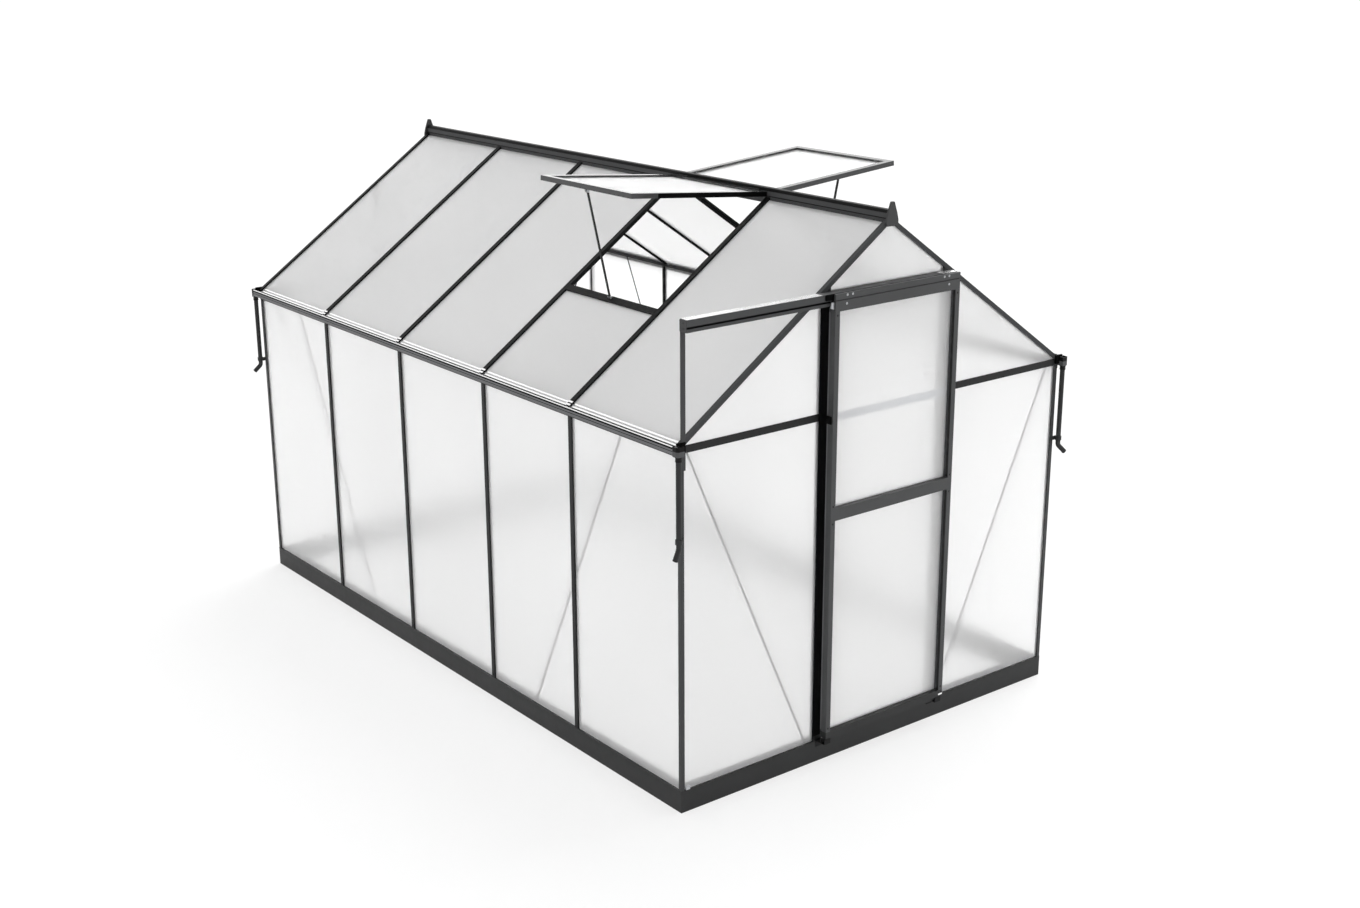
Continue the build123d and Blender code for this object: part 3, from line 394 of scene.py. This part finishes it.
def eave_edge(side, name):
    """Two raised beads in bright silver across the feet of the roof panes and bars, as painted highlights
    along the eave, and a dark strip at the panes' edge, as painted shade in the gap above the gutter.
    """
    out = up_from(name + "_roof_panes", side)
    down = Vector((side * out.z, 0, -side * out.x))
    panes = islands(name + "_roof_panes")
    foot = max(p.dot(down) for p in panes[0])
    upper, lower, edge = (27.5, 20.0), (14.2, 7.0), (6.9, 0.0)
    cap_gap, bar_gap = 10.5, 0.2
    pane_rise, bar_rise, shade_mark_rise = 1.3, 1.4, 1.2
    chamfer_up, chamfer_down, chamfer_rise = 0.4, 1.2, 0.8

    def strip(bm, points, reach, side_gap, rise):
        """Flat bead with chamfered edges over points, reach as its two ends up from the panes' foot."""
        level = max(p.dot(out) for p in points)
        y0, y1 = ends_y(points)
        high, low = [foot - end * MM for end in reach]
        top = level + rise * MM
        section = [(high, level + SUNK * MM), (high + chamfer_up * MM, top), (low - chamfer_down * MM, top),
                   (low, top - chamfer_rise * MM), (low, level + SUNK * MM)]
        start = Vector((0, y0 + side_gap * MM, 0))
        bar(bm, [down * a + out * b + start for a, b in section], Vector((0, y1 - y0 - 2 * side_gap * MM, 0)))

    beads, shade_marks = bmesh.new(), bmesh.new()
    for points in panes:
        strip(beads, points, upper, cap_gap, pane_rise)
        strip(beads, points, lower, cap_gap, pane_rise)
        strip(shade_marks, points, edge, cap_gap, shade_mark_rise)
    for points in islands(name + "_roof_bars"):
        strip(beads, points, upper, bar_gap, bar_rise)
        strip(beads, points, lower, bar_gap, bar_rise)
    piece(name + "_eave_highlight_beads", beads, "house", SILVER_AND_PAINTED_HIGHLIGHT)
    piece(name + "_eave_shade_strips", shade_marks, "house", RUBBER_AND_PAINTED_SHADE)


def gutter_trim(side, name):
    """Bright bead on the gutter's rim as a painted highlight, and two dark lines on its face as painted shade
    in its grooves.
    """
    end_gap = 0.5
    along = (GUTTER.front + end_gap, GUTTER.back - end_gap)
    rim_proud, rim_wide, rim_rise, rim_tall = 0.3, 3.2, 1.0, 3.8
    groove_shade_proud, groove_shade_thick = 0.4, 0.5
    groove_shades = ((8.4, 3.0), (17.4, 15.4))

    def across(proud, wide):
        return side * (GUTTER.right + proud), side * (GUTTER.right + proud - wide)

    bm = bmesh.new()
    rim_top = GUTTER.top + rim_rise
    block(bm, across(rim_proud, rim_wide), along, (rim_top - rim_tall, rim_top), bevel=0.8)
    piece(name + "_gutter_rim_highlight_bead", bm, "house", SILVER_AND_PAINTED_HIGHLIGHT)
    bm = bmesh.new()
    for low, high in groove_shades:
        block(bm, across(groove_shade_proud, groove_shade_thick), along, (GUTTER.top - low, GUTTER.top - high),
              bevel=0.2, segments=1)
    piece(name + "_gutter_shade_lines", bm, "house", RUBBER_AND_PAINTED_SHADE)


# Door gear

def door_hanger_screws():
    """A pair of screws at each end of the hanger band, and one under each pair in the top rail."""
    band_drop, rail_drop = 7.0, 13.0
    left_pair, right_pair, left_low, right_low = (54, 79), (81, 57), 52, 56
    places = [(HANGER.left + inset, HANGER.top - band_drop) for inset in left_pair]
    places += [(HANGER.right - inset, HANGER.top - band_drop) for inset in right_pair]
    places += [(x, TOP_RAIL.top - rail_drop) for x in (HANGER.left + left_low, HANGER.right - right_low)]
    bm = bmesh.new()
    for x, z in places:
        screw(bm, at(x, HANGER.front + SUNK, z), (0, -1, 0), radius=4.2, height=0.4)
    piece("door_hanger_screws", bm, "door", BARE, smooth=True)


def door_stile_screws():
    """Screws down the middle of both stiles, next to the rails."""
    middle = (STILES.right + MID_RAIL.right) / 2
    foot_rise, rail_gap, head_drop = 15.0, 10.0, 13.0
    heights = (STILES.bottom + foot_rise, MID_RAIL.bottom - rail_gap,
               MID_RAIL.top + rail_gap, STILES.top - head_drop)
    bm = bmesh.new()
    for x in (-middle, middle):
        for z in heights:
            screw(bm, at(x, STILES.front + SUNK, z), (0, -1, 0), radius=3.6, height=0.4)
    piece("door_stile_screws", bm, "door", PLASTIC, smooth=True)


def track_black_block():
    """Black block on the track's face behind the closed door's left end, with a raised pad."""
    free_reach, door_lap, tall, thick = 33.0, 13.0, 20.5, 6.5
    pad_rise, pad_side, pad_end = 0.9, 5.0, 4.5
    x0, x1 = STILES.left - free_reach, STILES.left + door_lap
    z0, z1 = TRACK.top - tall, TRACK.top
    face = TRACK.front - thick
    bm = bmesh.new()
    block(bm, (x0, x1), (face, TRACK.front + SUNK), (z0, z1), bevel=2.2, segments=3)
    block(bm, (x0 + pad_side, x1 - pad_side), (face - pad_rise, face + 2 * SUNK),
          (z0 + pad_end, z1 - pad_end), bevel=0.5)
    piece("track_black_block", bm, "house", RUBBER_AND_PAINTED_SHADE)


def roller_bracket():
    """Bare angle on the left stile's edge under the hanger, with its screw."""
    edge = STILES.left + SUNK
    reach, front_thick, side_thick, depth = 14.0, 3.6, 2.7, 18.0
    plate_tall, side_tall, screw_reach = 21.0, 25.0, 7.5
    front_inset, top_drop = 6.0, 4.0
    front, top = STILES.front + front_inset, TOP_RAIL.top - top_drop
    bm = bmesh.new()
    block(bm, (STILES.left - reach, edge), (front, front + front_thick), (top - plate_tall, top), bevel=1.2)
    block(bm, (edge - side_thick, edge), (front, front + depth), (top - side_tall, top), bevel=0.9)
    screw(bm, at(STILES.left - screw_reach, front + SUNK, top - plate_tall / 2), (0, -1, 0),
          radius=3.6, height=1.4)
    piece("roller_bracket", bm, "door", BARE)


def stile_foot_clip():
    """Bright clip round the right end of the bottom rail."""
    rise, tall, proud, side_proud = 22.5, 7.0, 0.3, 0.4
    wide, depth, thick, side_thick = 20.5, 16.0, 1.1, 1.4
    height = (BOTTOM_RAIL.bottom + rise, BOTTOM_RAIL.bottom + rise + tall)
    front, end = BOTTOM_RAIL.front, BOTTOM_RAIL.right
    bm = bmesh.new()
    block(bm, (end - wide, end - side_proud), (front - proud, front - proud + thick), height, bevel=0.3)
    block(bm, (end + side_proud - side_thick, end + side_proud), (front - 2 * SUNK, front + depth),
          height, bevel=0.4)
    piece("stile_foot_clip", bm, "door", SILVER_AND_PAINTED_HIGHLIGHT)


def stile_edge_highlight():
    """Lighter strip down the back corner of the left stile's edge, a painted highlight along that edge."""
    proud, wide, foot_gap, head_gap = 0.7, 5.3, 5.0, 3.0
    back = STILES.back - 2 * SUNK
    bm = bmesh.new()
    block(bm, (STILES.left - proud, STILES.left + 2 * SUNK), (back - wide, back),
          (STILES.bottom + foot_gap, STILES.top - head_gap), bevel=0.3)
    piece("stile_edge_highlight", bm, "door", GUTTER_PAINT)


def door_bumper():
    """Rubber block on the left stile's edge at the height of the stiffener, with a raised pad."""
    stiffener = box_of("door_stiffener")
    drop, front_gap, back_gap = 2.0, 5.0, 1.0
    z0, z1 = stiffener.bottom - drop, stiffener.top - drop
    y0, y1 = STILES.front + front_gap, STILES.back - back_gap
    thick, pad_rise, pad_side, pad_end = 6.0, 1.2, 4.0, 5.0
    face = STILES.left - thick
    bm = bmesh.new()
    block(bm, (face, STILES.left + 2 * SUNK), (y0, y1), (z0, z1), bevel=1.5, segments=3)
    block(bm, (face - pad_rise, face + 2 * SUNK), (y0 + pad_side, y1 - pad_side),
          (z0 + pad_end, z1 - pad_end), bevel=0.5)
    piece("door_bumper", bm, "door", RUBBER_AND_PAINTED_SHADE)


def door_stile_shade_strips():
    """Dark strips on the stiles' inner faces beside both panes, painted shade on those faces."""
    proud, inset, depth = 0.8, 1.0, 11.0
    foot_gap, rail_gap, head_gap = 2.0, 5.0, 3.0
    runs = ((STILES.bottom + foot_gap, MID_RAIL.bottom - rail_gap),
            (MID_RAIL.top + rail_gap, STILES.top - head_gap))
    front = STILES.front + inset
    bm = bmesh.new()
    for side in (-1, 1):
        for run in runs:
            across = (side * (MID_RAIL.right - proud), side * (MID_RAIL.right + 2 * SUNK))
            block(bm, across, (front, front + depth), run, bevel=0.3)
    piece("door_stile_shade_strips", bm, "door", FRAME_PAINT)


def track_end_plates():
    """Plate with rounded corners and two screws on each end of the track."""
    inset, radius, thick, corner_steps = 0.4, 3.6, 2.2, 4
    screw_rises = (12, 31)
    y0, y1 = TRACK.front + inset + radius, TRACK.back - inset - radius
    z0, z1 = TRACK.bottom + inset + radius, TRACK.top - inset - radius
    bm = bmesh.new()
    for x, face in ((TRACK.left + SUNK, -1), (TRACK.right - SUNK, 1)):
        outline = []
        for corner, (cy, cz) in enumerate(((y1, z1), (y0, z1), (y0, z0), (y1, z0))):
            for step in range(corner_steps + 1):
                a = (corner + step / corner_steps) * math.pi / 2
                outline.append(at(x, cy + radius * math.cos(a), cz + radius * math.sin(a)))
        bar(bm, outline, Vector((face * thick * MM, 0, 0)))
        for rise in screw_rises:
            foot = at(x + face * (thick - SUNK), (TRACK.front + TRACK.back) / 2, TRACK.bottom + rise)
            screw(bm, foot, (face, 0, 0), radius=3.6, height=1.6)
    piece("track_end_plates", bm, "house", POST_LIT_PAINT)


def track_top_highlight_strip():
    """Bright strip on top of the track, left out over the door, a painted highlight on the track's top."""
    end_gap, side_gap, sunk, rise = 1.5, 0.6, 0.2, 0.8
    door_gap, right_run = 42.0, 70.0
    left = (TRACK.left + end_gap, STILES.left - door_gap)
    right = (TRACK.right - right_run, TRACK.right - end_gap)
    across = (TRACK.front + side_gap, TRACK.back - side_gap)
    bm = bmesh.new()
    for run in (left, right):
        block(bm, run, across, (TRACK.top - sunk, TRACK.top + rise), bevel=0.4)
    piece("track_top_highlight_strip", bm, "house", SILVER_AND_PAINTED_HIGHLIGHT)


def door_post_black_strips():
    """Black strip on the front of both door posts, from the floor guides up to the track."""
    guides = box_of("door_bottom_guides")
    opening = box_of("gable_head_bar").right
    inner_gap, outer_lap, thick, end_gap = 4.0, 6.0, 3.6, 2.0
    depth = (DOOR_POSTS.front - thick, DOOR_POSTS.front + SUNK)
    height = (guides.top + end_gap, TRACK.bottom - end_gap)
    bm = bmesh.new()
    for side in (-1, 1):
        across = (side * (opening + inner_gap), side * (DOOR_POSTS.right + outer_lap))
        block(bm, across, depth, height, bevel=1.2)
    piece("door_post_black_strips", bm, "house", RUBBER_AND_PAINTED_SHADE)


# Vents

def vent_hinge_knuckles():
    """Two hinges a vent at the ridge, each of three knuckles."""
    ridge, vent = box_of("ridge_bar"), box_of("left_vent_frame")
    pin_gap, pin_drop, end_inset, radius, edge = 3.5, 12.8, 69.0, 3.6, 0.6
    x, z = ridge.right + pin_gap, ridge.top - pin_drop
    knuckles = ((-30, -11), (-9.5, 9.5), (11, 30))
    bm = bmesh.new()
    for side in (-1, 1):
        for middle in (vent.front + end_inset, vent.back - end_inset):
            for a, b in knuckles:
                profile = [(radius - edge, 0), (radius, edge), (radius, b - a - edge), (radius - edge, b - a)]
                lathe(bm, at(side * x, middle + a, z), (0, 1, 0), profile, count=16)
    piece("vent_hinge_knuckles", bm, "house", PLASTIC, smooth=True)


def vent_side_shade_strips():
    """Thin black strips on both side bars of the left vent, from the hinge most of the way out, as painted
    shade on those bars.
    """
    over = up_from("vent_panes", -1)
    along = Vector((-over.z, 0, over.x))
    corners = [v.co for v in NODES["left_vent_frame"].data.vertices]
    a = [p.dot(along) for p in corners]
    b = [p.dot(over) for p in corners]
    hinge_gap, free_run, edge_gap, thick = 1.0, 120.0, 0.8, 0.5
    a0, a1 = min(a) + hinge_gap * MM, max(a) - free_run * MM
    b0, b1 = min(b) + edge_gap * MM, max(b) - edge_gap * MM
    bm = bmesh.new()
    for y, way in zip(ends_y(corners), (-1, 1)):
        face = Vector((0, y, 0))
        outline = [along * u + over * v + face for u, v in ((a0, b0), (a1, b0), (a1, b1), (a0, b1))]
        bar(bm, outline, Vector((0, way * thick * MM, 0)))
    piece("vent_side_shade_strips", bm, "house", RUBBER_AND_PAINTED_SHADE)


def vent_prop_pins():
    """Bolt heads on both faces of each prop, near its two ends."""
    inset = 6.0 * MM
    bm = bmesh.new()
    for side in (-1, 1):
        points = [group for group in islands("vent_props") if group[0].x * side > 0][0]
        for end, way_in in ((max, -1), (min, 1)):
            tip = end(p.z for p in points)
            rim = [p for p in points if abs(p.z - tip) < inset]
            centre = sum(rim, Vector()) / len(rim)
            for y, way in zip(ends_y(points), (-1, 1)):
                foot = Vector((centre.x, y, centre.z + way_in * inset))
                hex_bolt(bm, foot, (0, way, 0), across=8.0, height=4.2)
    piece("vent_prop_pins", bm, "house", BARE, smooth=True)


# Corners, downpipes, posts and base

def eave_corner_plugs():
    """Rubber plug over each eave corner, with an arm over the gutter's end."""
    inner = GUTTER.left
    wide, depth, rise, foot_rise, arm_lap, arm_short = 20.0, 8.2, 8.5, 2.0, 1.0, 12.5
    plug = ((inner - wide, inner - 2 * SUNK), (GUTTER.bottom + foot_rise, GUTTER.top + rise))
    arm = ((inner - arm_lap, GUTTER.right - arm_short), (GUTTER.top + 2 * SUNK, GUTTER.top + rise))
    bm = bmesh.new()
    for sx in (-1, 1):
        for sy in (-1, 1):
            reach = (sy * (GUTTER.back - SUNK), sy * (GUTTER.back + depth))
            for across, height in (plug, arm):
                block(bm, [sx * x for x in across], reach, height, bevel=1.6)
    piece("eave_corner_plugs", bm, "house", RUBBER_AND_PAINTED_SHADE)


def downpipe_cuffs():
    """Flared cuff round the head of each downpipe, under the gutter's end cap."""
    pipe_x = (GUTTER.left + GUTTER.right) / 2
    pipe_y = (GUTTER.back + box_of("gutter_end_caps").back) / 2
    tall = 18.0
    foot_z = box_of("downpipes").top - tall
    profile = [(9.6, 0), (11.4, 0.8), (11.8, 3.5), (11.2, 6), (11.2, 13), (12.2, 15), (12.2, tall - SUNK)]
    bm = bmesh.new()
    for sx in (-1, 1):
        for sy in (-1, 1):
            lathe(bm, at(sx * pipe_x, sy * pipe_y, foot_z), (0, 0, 1), profile, count=28)
    piece("downpipe_cuffs", bm, "house", PLASTIC, smooth=True)


def post_screws():
    """A screw at the foot and the head of each side wall post."""
    foot_rise, head_drop = 14.0, 18.0
    bm = bmesh.new()
    for side, name in SIDES:
        posts = box_of(name + "_wall_posts")
        face = side * (max(posts.right, -posts.left) - SUNK)
        for points in islands(name + "_wall_posts"):
            y = (sum(ends_y(points)) / 2 - MIDDLE_Y) / MM
            for z in (posts.bottom + foot_rise, posts.top - head_drop):
                screw(bm, at(face, y, z), (side, 0, 0), radius=4.2, height=2.2)
    piece("post_screws", bm, "house", FRAME_PAINT, smooth=True)


def pane_clip():
    """Bare angle clip with a screw on the base, at the foot of the left front pane."""
    corner_gap, wide, proud = 21.0, 18.0, 0.8
    thick, depth, front_thick, tall, screw_rise = 1.5, 19.8, 7.6, 12.1, 6.1
    x0, x1 = BASE.left + corner_gap, BASE.left + corner_gap + wide
    front, foot = BASE.front - proud, BASE.top - SUNK
    bm = bmesh.new()
    block(bm, (x0, x1), (front, front + front_thick), (foot, foot + tall), bevel=0.7)
    block(bm, (x0, x1), (front, front + depth), (foot, foot + thick), bevel=0.5)
    screw(bm, at((x0 + x1) / 2, front + SUNK, foot + screw_rise), (0, -1, 0), radius=3.0, height=1.3)
    piece("pane_clip", bm, "house", BARE)


for wall_side, wall_name in SIDES:
    eave_edge(wall_side, wall_name)
    gutter_trim(wall_side, wall_name)
door_hanger_screws()
door_stile_screws()
track_black_block()
roller_bracket()
stile_foot_clip()
stile_edge_highlight()
door_bumper()
door_stile_shade_strips()
track_end_plates()
track_top_highlight_strip()
door_post_black_strips()
vent_hinge_knuckles()
vent_side_shade_strips()
vent_prop_pins()
eave_corner_plugs()
downpipe_cuffs()
post_screws()
pane_clip()


# Floor, light and camera, in metres

def floor():
    """White floor that keeps the shadow, partly plain white to the camera, in gloss and through panes."""
    half, drop = 150.0, 0.0005
    seen_share, through_share = 0.73, 0.62
    mesh = bpy.data.meshes.new("floor")
    corners = [(-half, -half, -drop), (half, -half, -drop), (half, half, -drop), (-half, half, -drop)]
    mesh.from_pydata(corners, [], [(0, 1, 2, 3)])
    ob = bpy.data.objects.new("floor", mesh)
    bpy.context.scene.collection.objects.link(ob)
    m, tree, bsdf = new_material("floor_white")
    bsdf.inputs["Base Color"].default_value = (0.95, 0.95, 0.95, 1.0)
    bsdf.inputs["Roughness"].default_value = 0.9
    bsdf.inputs["Specular IOR Level"].default_value = 0.0
    path = tree.nodes.new("ShaderNodeLightPath")
    seen = tree.nodes.new("ShaderNodeMath")
    seen.operation = "MAXIMUM"
    tree.links.new(path.outputs["Is Camera Ray"], seen.inputs[0])
    tree.links.new(path.outputs["Is Glossy Ray"], seen.inputs[1])
    share = tree.nodes.new("ShaderNodeMix")
    share.inputs["B"].default_value = through_share
    tree.links.new(path.outputs["Is Transmission Ray"], share.inputs["Factor"])
    tree.links.new(span(tree, seen.outputs["Value"], 0.0, seen_share), share.inputs["A"])
    white = tree.nodes.new("ShaderNodeEmission")
    white.inputs["Strength"].default_value = 1.0
    mix = tree.nodes.new("ShaderNodeMixShader")
    tree.links.new(share.outputs["Result"], mix.inputs["Fac"])
    tree.links.new(bsdf.outputs["BSDF"], mix.inputs[1])
    tree.links.new(white.outputs["Emission"], mix.inputs[2])
    tree.links.new(mix.outputs["Shader"], tree.nodes["Material Output"].inputs["Surface"])
    mesh.materials.append(m)


def sky():
    """White surroundings, brighter at the back right and dimmer overhead, plain white to the camera."""
    brighter_towards = (0.5, 0.35, -0.25)
    mean_level = 1.07
    world = bpy.data.worlds.new("studio")
    bpy.context.scene.world = world
    world.use_nodes = True
    tree = world.node_tree
    coords = tree.nodes.new("ShaderNodeTexCoord")
    along = tree.nodes.new("ShaderNodeVectorMath")
    along.operation = "DOT_PRODUCT"
    along.inputs[1].default_value = brighter_towards
    tree.links.new(coords.outputs["Generated"], along.inputs[0])
    level = tree.nodes.new("ShaderNodeMath")
    level.inputs[1].default_value = mean_level
    tree.links.new(along.outputs["Value"], level.inputs[0])
    path = tree.nodes.new("ShaderNodeLightPath")
    seen = tree.nodes.new("ShaderNodeMix")
    seen.inputs["B"].default_value = 1.0
    tree.links.new(path.outputs["Is Camera Ray"], seen.inputs["Factor"])
    tree.links.new(level.outputs["Value"], seen.inputs["A"])
    tree.links.new(seen.outputs["Result"], tree.nodes["Background"].inputs["Strength"])
    tree.nodes["Background"].inputs["Color"].default_value = (1.0, 1.0, 1.0, 1.0)


def sun():
    """Soft key light from the back right, high up."""
    towards = Vector((0.6, 0.2, 0.85))
    lamp = bpy.data.lights.new("key", "SUN")
    lamp.energy = 1.75
    lamp.angle = math.radians(40.0)
    ob = bpy.data.objects.new("key", lamp)
    ob.rotation_euler = towards.to_track_quat("Z", "Y").to_euler()
    bpy.context.scene.collection.objects.link(ob)


def camera():
    """The photo's viewpoint, in front of the left front corner and above the eaves."""
    place = Vector((-4.322, -5.884 + MIDDLE_Y, 3.034))
    yaw, pitch, roll = math.radians(38.09), math.radians(17.4), math.radians(-0.2)
    ahead = Vector((math.sin(yaw) * math.cos(pitch), math.cos(yaw) * math.cos(pitch), -math.sin(pitch)))
    level = Vector((math.cos(yaw), -math.sin(yaw), 0.0))
    upright = level.cross(ahead)
    right = level * math.cos(roll) + upright * math.sin(roll)
    up = upright * math.cos(roll) - level * math.sin(roll)
    data = bpy.data.cameras.new("camera")
    data.sensor_fit = "HORIZONTAL"
    data.sensor_width = 36.0
    data.lens = 46.77
    data.clip_end = 400.0
    ob = bpy.data.objects.new("camera", data)
    ob.matrix_world = Matrix.Translation(place) @ Matrix((right, up, -ahead)).transposed().to_4x4()
    bpy.context.scene.collection.objects.link(ob)
    bpy.context.scene.camera = ob


floor()
sky()
sun()
camera()
bpy.context.scene.view_settings.view_transform = "Standard"
